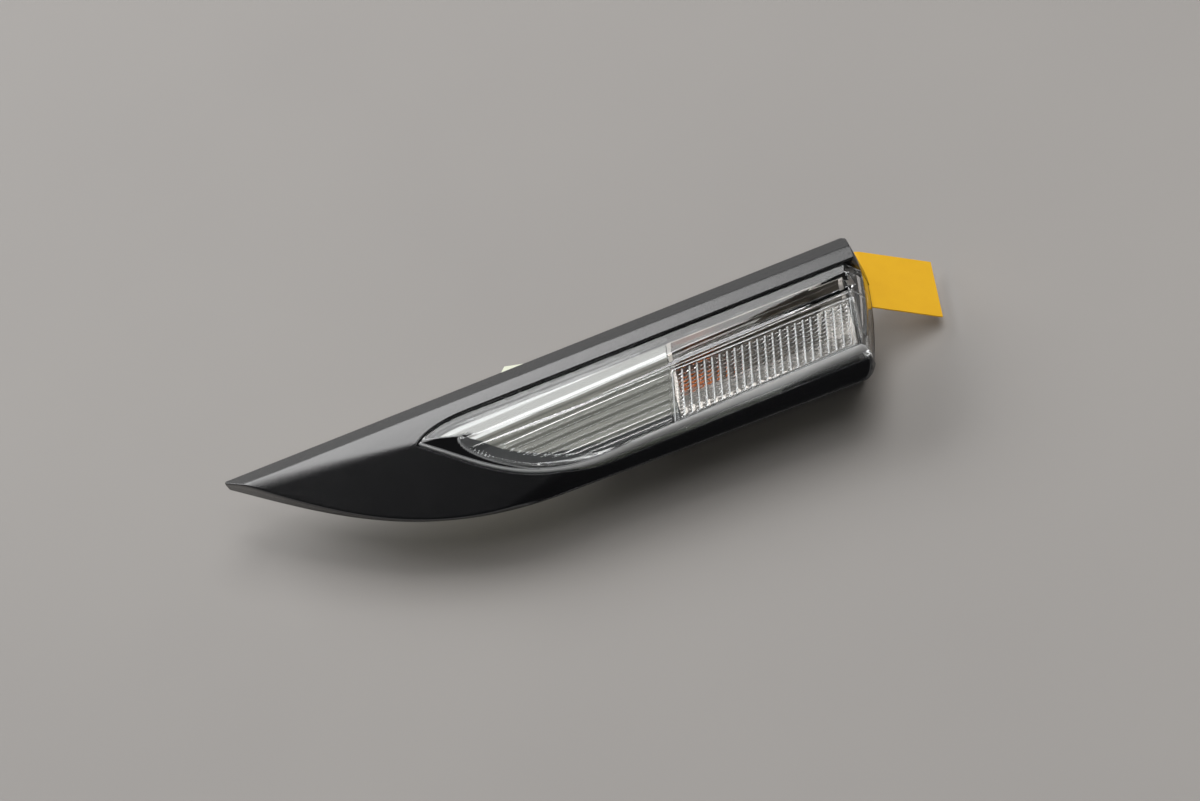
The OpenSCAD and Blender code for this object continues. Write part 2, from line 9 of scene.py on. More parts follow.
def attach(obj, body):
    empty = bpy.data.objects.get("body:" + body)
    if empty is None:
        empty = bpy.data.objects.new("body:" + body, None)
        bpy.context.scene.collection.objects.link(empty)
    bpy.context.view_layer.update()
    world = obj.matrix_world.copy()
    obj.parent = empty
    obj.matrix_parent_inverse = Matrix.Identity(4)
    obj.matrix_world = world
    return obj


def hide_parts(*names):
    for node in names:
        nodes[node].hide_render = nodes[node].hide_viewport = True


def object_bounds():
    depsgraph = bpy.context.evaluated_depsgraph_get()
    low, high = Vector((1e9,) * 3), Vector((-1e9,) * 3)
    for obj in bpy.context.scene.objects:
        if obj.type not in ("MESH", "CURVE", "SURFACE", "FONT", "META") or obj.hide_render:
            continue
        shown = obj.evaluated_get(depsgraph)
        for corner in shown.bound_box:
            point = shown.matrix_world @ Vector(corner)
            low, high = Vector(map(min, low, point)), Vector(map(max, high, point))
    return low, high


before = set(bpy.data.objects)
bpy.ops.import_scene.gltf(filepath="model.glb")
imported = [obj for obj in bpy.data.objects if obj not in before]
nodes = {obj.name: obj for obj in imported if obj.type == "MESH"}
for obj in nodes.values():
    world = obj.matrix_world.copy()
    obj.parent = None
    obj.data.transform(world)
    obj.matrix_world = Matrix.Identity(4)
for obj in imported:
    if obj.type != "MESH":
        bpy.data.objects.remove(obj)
cad_box = [list(corner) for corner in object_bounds()]

# Bench top
# A bench faced with matt grey laminate, pressed from printed paper and resin. Its faint mottling
# is the only pattern on it, and the lamp stands on it on the lowest point of its bulb chamber.


def srgb(code):
    """A colour written as sRGB hex, turned to the linear values that shaders take."""
    parts = [int(code[i : i + 2], 16) / 255 for i in (1, 3, 5)]
    linear = [c / 12.92 if c <= 0.04045 else ((c + 0.055) / 1.055) ** 2.4 for c in parts]
    return (*linear, 1.0)


def put(tree, kind, inputs=None, **settings):
    """Adds a node to a tree, sets what it is, and links or sets its inputs."""
    made = tree.nodes.new(kind)
    for name, value in settings.items():
        setattr(made, name, value)
    for name, value in (inputs or {}).items():
        if isinstance(value, bpy.types.NodeSocket):
            tree.links.new(value, made.inputs[name])
        else:
            made.inputs[name].default_value = value
    return made


def blank_material(name):
    """A material with an empty node tree and its output node."""
    made = bpy.data.materials.new(name)
    made.use_nodes = True
    made.node_tree.nodes.clear()
    return made, made.node_tree, put(made.node_tree, "ShaderNodeOutputMaterial")


def grained_material(
    name, colours, roughness, per_mm, grain=None, relief=None, more=None, kind="ShaderNodeTexNoise"
):
    """A material with one fine grain, which mixes two colours, varies the roughness or is raised.

    per_mm is how many grains lie in a millimetre, grain holds the texture's other inputs, relief
    is a bump's strength and its depth in metres, and more holds the surface's other inputs.
    """
    made, tree, out = blank_material(name)
    coords = put(tree, "ShaderNodeTexCoord")
    texture = put(tree, kind, {"Vector": coords.outputs["Object"], "Scale": 1000 * per_mm, **(grain or {})})
    amount = texture.outputs[0]
    inputs = {"Base Color": srgb(colours[0]), **(more or {})}
    if len(colours) == 2:
        tones = {0: amount, 6: srgb(colours[0]), 7: srgb(colours[1])}
        inputs["Base Color"] = put(tree, "ShaderNodeMix", tones, data_type="RGBA").outputs[2]
    if isinstance(roughness, tuple):
        limits = {"Value": amount, "To Min": roughness[0], "To Max": roughness[1]}
        inputs["Roughness"] = put(tree, "ShaderNodeMapRange", limits).outputs[0]
    else:
        inputs["Roughness"] = roughness
    if relief:
        raised = {"Height": amount, "Strength": relief[0], "Distance": relief[1]}
        inputs["Normal"] = put(tree, "ShaderNodeBump", raised).outputs[0]
    surface = put(tree, "ShaderNodeBsdfPrincipled", inputs)
    tree.links.new(surface.outputs[0], out.inputs["Surface"])
    return made


bench_reach = 4.0
bench_level = cad_box[0][2]
bench_corners = [(-1, -1), (1, -1), (1, 1), (-1, 1)]
bench_mesh = bpy.data.meshes.new("bench_top")
bench_points = [(bench_reach * i, bench_reach * j, bench_level) for i, j in bench_corners]
bench_mesh.from_pydata(bench_points, [], [(0, 1, 2, 3)])
bench = bpy.data.objects.new("bench_top", bench_mesh)
bpy.context.collection.objects.link(bench)

# The matt face spreads the light, and clouds about 110 mm wide keep its grey from being flat
laminate = grained_material("matt_grey_laminate", ("#9A9693", "#A29E9A"), 0.62, 0.009, {"Detail": 3.0})
bench_mesh.materials.append(laminate)

# Light and camera
# A broad low softbox stands behind the lamp at its nose end, where the lit face mirrors it, and
# two high ones stand to the right and in front. The room adds a weak glow near the horizon. The
# camera looks down over the lower edge through a long lens, and is turned so the lamp lies aslant.
look_at = Vector((0.0, -0.014, 0.005))
softbox_away = 2.2


def softbox(name, bearing, height, width, depth, watts):
    """A flat light that faces the lamp from a bearing and a height in degrees."""
    light = bpy.data.lights.new(name, "AREA")
    light.shape = "RECTANGLE"
    light.size, light.size_y, light.energy = width, depth, watts
    made = bpy.data.objects.new(name, light)
    a, e = math.radians(bearing), math.radians(height)
    away = Vector((math.cos(a) * math.cos(e), math.sin(a) * math.cos(e), math.sin(e)))
    turn = away.to_track_quat("Z", "Y").to_matrix().to_4x4()
    made.matrix_world = Matrix.Translation(look_at + away * softbox_away) @ turn
    bpy.context.collection.objects.link(made)


softbox("left_softbox", 129, 35, 1.66, 1.18, 28)
softbox("right_softbox", 48, 60, 1.3, 1.3, 20)
softbox("front_softbox", -15, 68, 1.5, 1.5, 17)

# The room's glow fades with height. The camera itself sees a plain grey wall instead of it.
glow_low, glow_high = 0.12, 0.45
glow_strong, glow_weak = 0.75, 0.02
world = bpy.data.worlds.new("room")
bpy.context.scene.world = world
world.use_nodes = True
tree = world.node_tree
tree.nodes.clear()
rays = put(tree, "ShaderNodeLightPath")
sight = put(tree, "ShaderNodeTexCoord")
height = put(tree, "ShaderNodeSeparateXYZ", {"Vector": sight.outputs["Generated"]})
fade = put(tree, "ShaderNodeMapRange", {
    "Value": height.outputs["Z"],
    "From Min": glow_low, "From Max": glow_high, "To Min": glow_strong, "To Max": glow_weak})
glow = put(tree, "ShaderNodeBackground", {"Color": srgb("#FFFFFF"), "Strength": fade.outputs[0]})
wall = put(tree, "ShaderNodeBackground", {"Color": srgb("#A29E9A"), "Strength": 1.0})
pick = put(tree, "ShaderNodeMixShader", {
    0: rays.outputs["Is Camera Ray"], 1: glow.outputs[0], 2: wall.outputs[0]})
put(tree, "ShaderNodeOutputWorld", {"Surface": pick.outputs[0]})

camera_place = (0.220791, -0.569037, 0.630516)
camera_bearing, camera_height, camera_roll = -69.5901, 46.5309, -35.0123
eye = bpy.data.cameras.new("camera")
eye.lens, eye.sensor_width = 105.3, 36
eye.clip_start, eye.clip_end = 0.05, 20
camera = bpy.data.objects.new("camera", eye)
bearing_turn = Matrix.Rotation(math.radians(camera_bearing + 90), 4, "Z")
height_turn = Matrix.Rotation(math.radians(90 - camera_height), 4, "X")
roll_turn = Matrix.Rotation(math.radians(camera_roll), 4, "Z")
camera.matrix_world = Matrix.Translation(camera_place) @ bearing_turn @ height_turn @ roll_turn
bpy.context.collection.objects.link(camera)
bpy.context.scene.camera = camera
bpy.context.scene.view_settings.view_transform = "Standard"

# Bezel
# The blade-shaped frame, one injection moulding in black ABS with a fine spark-eroded texture. A
# chamfer runs along its straight upper edge, and a crease that starts at the nose parts the lit
# face from the dark lower facet. Screws pull it to the housing from behind.
lamp_len, lamp_depth, nose_len = 175.0, 40.0, 88.0
end_depth, end_zone = lamp_depth - 1.8, 7.0
nose_height, face_rise = 3.0, math.radians(2.1)
strip_w, strip_rise, face_gain, face_curl = 5.4, 2.0, 0.3, 4.0
crease_start, crease_slope = 4.34, 0.178
upper_arm_w, shut_gap, low_arm_w, low_arm_least = 9.8, 0.5, 3.2, 3
facet_x, facet_lift, facet_yaw, facet_slope = 5.2, 0.45, -10, 17.8
arm_height, arm_slope = 3.9, 41
chamfer_blend, arm_blend = 0.12, 0.3
crease_x, crease_blend = [0, 18, 40, 56], [0.9, 0.8, 0.45, 0.22]
top_corner_r, low_corner_r = 1.6, 4.0
bulge_y, bulge_low_w, bulge_top, bulge_low = 11.0, 23.0, 1.9, 2.4
bulge_start_x, bulge_run = 160.0, 15.0
low_slope = (lamp_depth - end_depth) / (lamp_len - end_zone - nose_len)
lens_tip = (56.0, -14.5)
lens_low_y = lamp_depth - low_arm_w
lens_turn_x = lens_tip[0] + 48
lens_end_y = end_depth - low_arm_w - 1
lens_low_slope = (lens_low_y - lens_end_y) / (lamp_len - 2 - lens_turn_x)
ref = np.array([-90.0, 6.0, 0.2])


def to_part(points):
    """Millimetres in the lamp's own frame to metres in the part's frame."""
    return (np.asarray(points, float) + ref) / 1000


def cubic(points, steps=240, aside=0.0):
    """Points on a cubic curve, moved to the left of its run by a distance."""
    p = np.array(points, float)
    t = np.linspace(0, 1, steps)[:, None]
    at = (1 - t) ** 3 * p[0] + 3 * t * (1 - t) ** 2 * p[1] + 3 * t * t * (1 - t) * p[2] + t**3 * p[3]
    run = (1 - t) ** 2 * (p[1] - p[0]) + 2 * t * (1 - t) * (p[2] - p[1]) + t * t * (p[3] - p[2])
    run /= np.linalg.norm(run, axis=1)[:, None]
    return at + aside * np.stack([-run[:, 1], run[:, 0]], 1)


def end_x(y):
    """Where the lamp's bulged end lies at a distance from the upper edge."""
    y = -np.asarray(y, float)
    above = bulge_top * ((bulge_y - y) / bulge_y) ** 2
    below = bulge_low * ((y - bulge_y) / bulge_low_w) ** 2
    return lamp_len - np.where(y < bulge_y, above, below)


def stretch_to_end(x, y, inset=0.0):
    """Follows the bulged lens end with the last columns of points."""
    return x + (end_x(y) - inset - lamp_len) * np.clip((x - bulge_start_x) / bulge_run, 0, 1) ** 2


def corner_drop(x, r):
    """How far a rounded corner at the lens end turns in at each x."""
    over = np.clip(x - (lamp_len - r), 0, r)
    return r - np.sqrt(r * r - over * over)


def top_edge(x, inset=0.0):
    """The lamp's upper edge, with its rounded corner at the lens end."""
    return -inset - corner_drop(x, max(top_corner_r - inset, 0.1))


def low_edge(x, inset=0.0):
    """The lamp's lower edge: the curve of the nose, then a straight run and a rounded corner."""
    belly = [(0.3 * nose_len, -0.5 * lamp_depth), (nose_len - 36, -lamp_depth)]
    nose = cubic([(0, -0.9), *belly, (nose_len, -lamp_depth)], aside=inset)
    straight = inset - lamp_depth + low_slope * (x - nose_len)
    y = np.where(x < nose_len, np.interp(x, nose[:, 0], nose[:, 1]), straight)
    return y + corner_drop(x, max(low_corner_r - inset, 0.1))


def lens_edges(inset):
    """Two curves as functions of x, the lens's upper and lower edge moved in, and their tip."""
    upper = cubic([lens_tip, (58.2, -11.9), (63, -10.3), (70, -10.3)], aside=-inset)
    lower = cubic([lens_tip, (71, -25.5), (82, -lens_low_y), (lens_turn_x, -lens_low_y)], aside=inset)
    # Both run on straight past the tip, so that they still cross when they are moved in or out
    start_u, start_l = upper[1] - upper[0], lower[1] - lower[0]
    upper = np.vstack([upper[0] - 40 * start_u / np.linalg.norm(start_u), upper])
    lower = np.vstack([lower[0] - 40 * start_l / np.linalg.norm(start_l), lower])
    xs = np.linspace(50, 75, 5001)
    gap = np.interp(xs, upper[:, 0], upper[:, 1]) - np.interp(xs, lower[:, 0], lower[:, 1])
    tip = xs[np.argmax(gap > 0)]

    def top(x):
        return np.interp(x, upper[:, 0], upper[:, 1])

    def low(x):
        straight = inset - lens_low_y + lens_low_slope * (x - lens_turn_x)
        return np.where(x < lens_turn_x, np.interp(x, lower[:, 0], lower[:, 1]), straight)

    return top, low, tip


def smooth_min(a, b, k):
    """The lower of two heights, blended over a band where they are near each other."""
    h = np.clip(0.5 + 0.5 * (b - a) / k, 0, 1)
    return b + (a - b) * h - k * h * (1 - h)


def tilted_plane(point, yaw, rise, slope):
    """Height over a plane through a point, turned by yaw, rising along X, sloping along -Y."""
    turn = Matrix.Rotation(math.radians(yaw), 3, "Z") @ Matrix.Rotation(-rise, 3, "Y")
    n = turn @ Matrix.Rotation(math.radians(slope), 3, "X") @ Vector((0, 0, 1))
    return lambda x, y: point[2] - (n[0] * (x - point[0]) + n[1] * (y - point[1])) / n[2]


arm_yaw = math.degrees(math.atan((lamp_depth - end_depth) / (lamp_len - nose_len)))
facet_point = (facet_x, -strip_w, nose_height + strip_rise + facet_lift)
dark_facet = tilted_plane(facet_point, facet_yaw, face_rise, facet_slope)
arm_face = tilted_plane((nose_len, 0.6 - lens_low_y, arm_height), arm_yaw, 0, arm_slope)


def bezel_height(x, y):
    """Height of the bezel's face: chamfer, lit face, dark facet and lower arm."""
    base = nose_height + math.tan(face_rise) * x
    strip = base + strip_rise * -y / strip_w
    face = base + strip_rise + face_gain * np.tanh((-y - strip_w) / face_curl)
    z = smooth_min(strip, face, chamfer_blend)
    z = smooth_min(z, dark_facet(x, y), np.interp(x, crease_x, crease_blend))
    return smooth_min(z, arm_face(x, y), arm_blend)


def distance(x, y, line):
    """Distance from each point to a line of points."""
    p = np.stack([np.ravel(x), np.ravel(y)], 1)
    best = np.full(len(p), 1e9)
    for a, b in zip(line[:-1], line[1:]):
        ab = b - a
        if ab @ ab < 1e-12:
            continue
        t = np.clip(((p - a) @ ab) / (ab @ ab), 0, 1)
        best = np.minimum(best, np.linalg.norm(p - a - t[:, None] * ab, axis=1))
    return best.reshape(np.shape(x))


def rounding(d, r):
    """How far a rounded edge falls at a distance in from it."""
    inside = np.clip(r - d, 0, r)
    return r - np.sqrt(r * r - inside * inside)


def weld(shape):
    """Merges points that fall together and drops what then has no area."""
    bmesh.ops.remove_doubles(shape, verts=shape.verts, dist=2e-6)
    bmesh.ops.dissolve_degenerate(shape, edges=shape.edges, dist=2e-6)


def into_mesh(shape, mesh):
    """Turns the faces outwards and puts the finished shape in its mesh, shaded smooth."""
    bmesh.ops.recalc_face_normals(shape, faces=shape.faces)
    shape.to_mesh(mesh)
    shape.free()
    for polygon in mesh.polygons:
        polygon.use_smooth = True


gap_top, gap_low, gap_tip = lens_edges(-shut_gap)
skin, skirt_z = 2.0, 0.3
skin_start_x = 6.5
edge_r, opening_r = 0.45, 0.3


def bezel_grids(inset):
    """The two blocks of points over the bezel's face: along the top, and along the bottom."""
    nose_part = np.concatenate([[0, 0.15, 0.4, 0.8], np.linspace(1.3, gap_tip - 0.8, 64)])
    tip_part = gap_tip + np.array([-0.4, -0.15, 0, 0.03, 0.1, 0.25, 0.5, 0.9, 1.4, 2.0, 2.7, 3.5])
    rest = np.linspace(gap_tip + 4.4, 169, 100)
    last = lamp_len - np.array([5.2, 4.4, 3.6, 2.9, 2.3, 1.8, 1.4, 1.0, 0.7, 0.45, 0.25, 0.12, 0.05, 0])
    u = np.concatenate([nose_part, tip_part, rest, last])
    if inset:
        u = np.maximum(u, skin_start_x)
    low = low_edge(u, inset)
    top = top_edge(u, inset)
    # The blocks part along the crease, which bends to the lens's tip over the last 10 mm
    split = np.maximum(-crease_start - crease_slope * u, top + 0.85 * (low - top))
    near_tip = np.clip((u - (gap_tip - 10)) / 10, 0, 1) ** 2
    split = split + (gap_top(gap_tip) - (-crease_start - crease_slope * gap_tip)) * near_tip
    inner_top = np.where(u <= gap_tip, split, gap_top(u))
    inner_low = np.where(u <= gap_tip, split, gap_low(u))

    def rows(start, stop, first, middle, last_rows, full):
        """Rows close together at both edges, for their radii, and even between.

        Where an arm is narrower than its full width, the spacings at its edges shrink with it.
        """
        span = start - stop
        s = np.minimum(1, span / full)
        a = s[:, None] * np.array(first)
        c = span[:, None] - s[:, None] * np.array(last_rows)
        t = np.linspace(0, 1, middle + 2)[1:-1]
        b = a[:, -1:] + (c[:, :1] - a[:, -1:]) * t
        return start[:, None] - np.concatenate([a, b, c], 1)

    at_top = [0, 0.05, 0.12, 0.22, 0.36, 0.6, 1.0, 1.8, 2.8, 3.8]
    at_chamfer = [4.6, 4.95, 5.15, 5.3, 5.45, 5.6, 5.8, 6.2]
    above_lens = [2.0, 1.3, 0.8, 0.45, 0.26, 0.15, 0.07, 0.02, 0]
    below_lens = [0, 0.02, 0.07, 0.15, 0.26, 0.45, 0.8, 1.2]
    at_low_edge = [1.2, 0.85, 0.6, 0.4, 0.25, 0.13, 0.05, 0]
    upper = rows(top, inner_top, at_top + at_chamfer, 5, above_lens, upper_arm_w)
    lower = rows(inner_low, low, below_lens, 18, at_low_edge, low_arm_least)
    grids = []
    for y in (upper, lower):
        x = np.repeat(u[:, None], y.shape[1], 1)
        grids.append((stretch_to_end(x, y, inset), y))
    return u, grids


points, faces = [], []


def add_grid(x, y, z, turned):
    """Adds a grid of points and its faces, and returns the numbers of its points."""
    start = len(points)
    points.extend(np.stack([x.ravel(), y.ravel(), z.ravel()], 1))
    ids = start + np.arange(x.size).reshape(x.shape)
    for i in range(x.shape[0] - 1):
        for j in range(x.shape[1] - 1):
            quad = (ids[i, j], ids[i, j + 1], ids[i + 1, j + 1], ids[i + 1, j])
            faces.append(quad[::-1] if turned else quad)
    return ids


def add_strip(a, b):
    """Joins two rows of points of the same length with faces."""
    for i in range(len(a) - 1):
        faces.append((a[i], a[i + 1], b[i + 1], b[i]))


def add_row(xy, z):
    """Adds a row of points at a height and returns their numbers."""
    start = len(points)
    points.extend([(x, y, z) for x, y in xy])
    return start + np.arange(len(xy))


def skirt_wall(outer_ids, inner_ids, ox, oy, ix, iy):
    """Outer wall down to the skirt's foot, the foot, and the wall back up inside."""
    foot_o = add_row(list(zip(ox, oy)), skirt_z)
    foot_i = add_row(list(zip(ix, iy)), skirt_z)
    add_strip(outer_ids, foot_o)
    add_strip(foot_o, foot_i)
    add_strip(foot_i, inner_ids)
    return foot_o, foot_i


u, outer_grids = bezel_grids(0.0)
_, inner_grids = bezel_grids(skin)
xs = np.linspace(gap_tip, lamp_len, 300)
opening = np.vstack([np.stack([xs, gap_low(xs)], 1)[::-1], np.stack([xs, gap_top(xs)], 1)])
xs = np.linspace(0, lamp_len, 400)
rim_top = np.stack([stretch_to_end(xs, top_edge(xs)), top_edge(xs)], 1)
rim_low = np.stack([stretch_to_end(xs, low_edge(xs)), low_edge(xs)], 1)
outline = np.vstack([rim_top[::-1], rim_low])

blocks = []
for (x, y), (xi, yi) in zip(outer_grids, inner_grids):
    z = bezel_height(x, y)
    z = z - rounding(distance(x, y, outline), edge_r) - rounding(distance(x, y, opening), opening_r)
    z = np.maximum(z, skirt_z + 0.4)
    zi = np.maximum(bezel_height(xi, yi) - skin, skirt_z + 0.1)
    zi = np.minimum(zi, z - 0.3)
    blocks.append((add_grid(x, y, z, False), add_grid(xi, yi, zi, True), x, y, xi, yi))
(top_o, top_i, *top_xy), (low_o, low_i, *low_xy) = blocks

# The skirt goes round the outside, both arms end in a face, and a lip closes the lens opening
tip_at = int(np.argmin(abs(u - gap_tip)))
skirt_wall(top_o[:, 0], top_i[:, 0], *[c[:, 0] for c in top_xy])
foot_o, foot_i = skirt_wall(top_o[-1], top_i[-1], *[c[-1] for c in top_xy])
faces.append((top_o[-1, -1], foot_o[-1], foot_i[-1], top_i[-1, -1]))
add_strip(top_o[tip_at:, -1], top_i[tip_at:, -1])
skirt_wall(low_o[:, -1], low_i[:, -1], *[c[:, -1] for c in low_xy])
foot_o, foot_i = skirt_wall(low_o[-1], low_i[-1], *[c[-1] for c in low_xy])
faces.append((low_o[-1, 0], foot_o[0], foot_i[0], low_i[-1, 0]))
add_strip(low_o[tip_at:, 0], low_i[tip_at:, 0])
nose_o = np.concatenate([top_o[0], low_o[0][1:]])
nose_i = np.concatenate([top_i[0], low_i[0][1:]])
skirt_wall(nose_o, nose_i, *[np.concatenate([a[0], b[0][1:]]) for a, b in zip(top_xy, low_xy)])

bezel_mesh = bpy.data.meshes.new("bezel_moulding")
bezel_mesh.from_pydata([tuple(p) for p in to_part(points)], [], faces)
shape = bmesh.new()
shape.from_mesh(bezel_mesh)
weld(shape)
into_mesh(shape, bezel_mesh)
bezel = bpy.data.objects.new("bezel_moulding", bezel_mesh)
bpy.context.collection.objects.link(bezel)

# ABS moulded against a spark-eroded tool: a grain of 0.4 mm, coarser than the real one so that
# it shows, spreads the softbox's reflection, and wide patches vary its gloss a little.
grains_per_mm, patches_per_mm = 2.6, 0.06
textured, tree, out = blank_material("spark_textured_black_ABS")
coords = put(tree, "ShaderNodeTexCoord")
grain = put(tree, "ShaderNodeTexNoise", {
    "Vector": coords.outputs["Object"], "Scale": 1000 * grains_per_mm, "Detail": 2.0, "Roughness": 0.6})
bump = put(tree, "ShaderNodeBump", {"Height": grain.outputs["Fac"], "Strength": 0.4, "Distance": 0.00012})
patch = put(tree, "ShaderNodeTexNoise", {
    "Vector": coords.outputs["Object"], "Scale": 1000 * patches_per_mm, "Detail": 3.0})
rough = put(tree, "ShaderNodeMapRange", {"Value": patch.outputs["Fac"], "To Min": 0.19, "To Max": 0.24})
surface = put(tree, "ShaderNodeBsdfPrincipled", {
    "Base Color": srgb("#08080A"), "Roughness": rough.outputs[0], "Normal": bump.outputs[0], "IOR": 1.7})
tree.links.new(surface.outputs[0], out.inputs["Surface"])
bezel_mesh.materials.append(textured)
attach(bezel, "lamp")
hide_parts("bezel")

# Lens
# Clear acrylic, injection moulded in a polished tool. A glossy band runs along the top, and a
# raised plateau below it carries the optics, all on the inside: long flutes over the trim panel
# and ribs crossed by small cells over the bulb. Its skirt stands in a channel of sealant.
lens_yaw = math.radians(2.3)
lens_wall, skirt_w, lens_foot = 1.8, 1.6, 2.0
band_low_y, optic_low_y = 23.2, 39.6
band_start_y, band_start_z, band_rise = -8.0, 0.1, 2.5
step_z, step_fall = 2.6, 0.34
optic_top_y, optic_top_z, optic_fall = 25.1, 1.95, 2.8
band_blend, wall_blend, end_blend = 0.05, 0.12, 0.15
thick_y, thick_more = [17.5, 22.2, 23.4, 25.2], [0, 0.95, 0.95, 0]
notch_x, notch_y, notch_fall, notch_blend = [143, 172], [23.1, 20.6], 0.42, 0.3
facet_proud, wall_steepness = 0.12, 1.9
bead_half_w, bead_height, bead_start_x, bead_fade = 0.32, 0.25, 58, 4
end_bevel_z, end_bevel_slope = 2.2, 1.7
lens_edge_r = 0.3
flute_end_x, flute_top_y, flute_pitch = 122.9, 25.6, 1.3
ribs_x, rib_pitch, rib_count, slant = 124.4, 2.0, 23, math.tan(math.radians(8.0))
slant_y = -25.0
cell_pitch = 1.0

# The plateau's edge, seen from above: from the lens's tip round its lower left corner to the end
plateau_corner = cubic([(67.6, -17.0), (64.6, -19.2), (74.0, -27.2), (86.0, -33.3)], 60)
plateau_foot = cubic([(86.0, -33.0), (93, -36.0), (102, -36.35), (112, -36.2)], 40)[1:]
plateau = np.vstack([[(57.0, -13.6)], plateau_corner, plateau_foot, [(141, -34.95), (176, -33.5)]])


def across(x, y):
    """Distance along Y in the frame of the lens's own long edges."""
    return -math.sin(lens_yaw) * x + math.cos(lens_yaw) * y


def below_top(x, y):
    """Distance from the top along Y, with the slight curve of the band's lower edge taken out."""
    curve = np.interp(x, [60, 66, 75, 90, 100, 118, 130, 172], [3.1, 2.2, 1.1, 0.1, -0.2, 0.3, 0.8, 0.3])
    return -across(x, y) + curve


def side_of(x, y, line):
    """Signed distance to an open line, positive to the left of its run."""
    d = distance(x, y, line)
    p = np.stack([np.ravel(x), np.ravel(y)], 1)
    best, sign = np.full(len(p), 1e9), np.ones(len(p))
    for a, b in zip(line[:-1], line[1:]):
        ab = b - a
        t = np.clip(((p - a) @ ab) / (ab @ ab), 0, 1)
        off = np.linalg.norm(p - a - t[:, None] * ab, axis=1)
        cross = ab[0] * (p[:, 1] - a[1]) - ab[1] * (p[:, 0] - a[0])
        closer = off < best - 1e-9
        best = np.where(closer, off, best)
        sign = np.where(closer, np.sign(cross), sign)
    return d * sign.reshape(np.shape(x))


xs = np.linspace(lens_tip[0], lamp_len - 1, 300)
lower_rim = np.stack([xs, lens_edges(0.0)[1](xs)], 1)


def lens_height(x, y, wall=0.0):
    """Height of the lens's outer face, or of a face inside it for a wall thickness."""
    base = nose_height + math.tan(face_rise) * x
    a = below_top(x, y)
    band = band_start_z + band_rise * (a - band_start_y) / (band_low_y - band_start_y)
    step = step_z - step_fall * (a - band_low_y)
    optic = optic_top_z - optic_fall * (a - optic_top_y) / (optic_low_y - optic_top_y)
    profile = smooth_min(band, np.maximum(step, optic), band_blend)
    # Towards the right end the band's lower part is cut back, along a line that climbs
    notch = np.clip(a - np.interp(x, notch_x, notch_y), 0, None)
    notch = notch * np.clip((band_low_y - a) / notch_blend, 0, 1)
    z = base + profile - notch_fall * notch - wall
    # Inside, the wall is thicker under the band's lower edge
    if wall:
        z = z - np.interp(a, thick_y, thick_more)
    inside = side_of(x, y, plateau)
    facet = dark_facet(x, y) + facet_proud
    rise = wall_steepness * np.maximum(inside, 0)
    wall_face = np.where(inside < 0, facet - wall, facet + rise - wall * 1.5)
    z = smooth_min(z, wall_face, wall_blend)
    if not wall:
        bead = np.clip(1 - ((distance(x, y, lower_rim) - bead_half_w) / bead_half_w) ** 2, 0, 1)
        z = z + bead_height * np.sqrt(bead) * np.clip((x - bead_start_x) / bead_fade, 0, 1)
    end = base - end_bevel_z + end_bevel_slope * np.maximum(end_x(y) - x, 0) - wall * 1.5
    return smooth_min(z, end, end_blend)


def lens_block(inset, columns, across_rows):
    """Points over the lens's plan, moved in by an inset: columns along X, rows along its edges."""
    top, low, tip = lens_edges(inset)
    u = tip + (lamp_len - tip) * columns
    upper, lower = top(u), np.minimum(low(u), top(u))
    lines = (across_rows[None, :] + math.sin(lens_yaw) * u[:, None]) / math.cos(lens_yaw)
    # The last ten rows follow the lower rim, for its bead
    rim = np.minimum(1.1, 0.35 * (upper - lower))
    y = np.clip(lines, (lower + rim)[:, None], upper[:, None])
    y = np.concatenate([y, lower[:, None] + rim[:, None] * np.linspace(1, 0, 11)[1:]], 1)
    y[:, 0] = upper
    x = np.repeat(u[:, None], y.shape[1], 1)
    return stretch_to_end(x, y, inset), y


def spaced(*stops):
    """Numbers from each stop to the next, in steps of the given size."""
    out = []
    for a, b, step in stops:
        out.extend(np.arange(a, b, step if b > a else -step))
    return np.array(out + [stops[-1][1]])


def border_loop(ids):
    """The numbers of a grid's border points, once round."""
    return np.concatenate([ids[:, 0], ids[-1][1:], ids[::-1, -1][1:], ids[0][::-1][1:]])


points, faces = [], []
outer_rows = spaced((-9.0, -22.4, 0.25), (-22.4, -25.6, 0.13), (-25.6, -34, 0.25), (-34, -41.5, 0.14))
outer_cols = np.concatenate([
    [0, 0.0004, 0.0015, 0.004, 0.008, 0.013],
    spaced((0.02, 0.32, 0.004), (0.32, 0.955, 0.012), (0.955, 1.0, 0.0016))])
x, y = lens_block(0.0, outer_cols, outer_rows)
top0, low0, tip0 = lens_edges(0.0)
xs = np.linspace(tip0, lamp_len, 400)
lens_outline = np.vstack([np.stack([xs, low0(xs)], 1)[::-1], np.stack([xs, top0(xs)], 1)])
z = lens_height(x, y) - rounding(distance(x, y, lens_outline), lens_edge_r)
outer = add_grid(x, y, z, False)
outer_loop = border_loop(outer)
add_strip(outer_loop, add_row([points[i][:2] for i in outer_loop], lens_foot))

# The inner face has a dozen columns to each rib, and its columns lean as the ribs do
_, _, inner_tip = lens_edges(skirt_w)
rib_cols = ribs_x + np.arange(rib_count * 12 + 1) * rib_pitch / 12
inner_cols = np.concatenate([
    inner_tip + np.array([0, 0.1, 0.3, 0.6]), np.arange(inner_tip + 1, 121, 0.9),
    np.arange(121, ribs_x - 0.05, 0.1), rib_cols, np.arange(rib_cols[-1] + 0.1, 172.0, 0.1),
    np.linspace(172.1, lamp_len, 8)])
inner_rows = spaced((-9.0, -22.0, 0.5), (-22.0, -25.6, 0.15), (-25.6, -41.5, 0.125))
xi, yi = lens_block(skirt_w, (inner_cols - inner_tip) / (lamp_len - inner_tip), inner_rows)
lean = np.clip((inner_cols - 119) / 5, 0, 1) * np.clip((173.4 - inner_cols) / 2.4, 0, 1)
xi = xi + slant * (yi - slant_y) * lean[:, None]
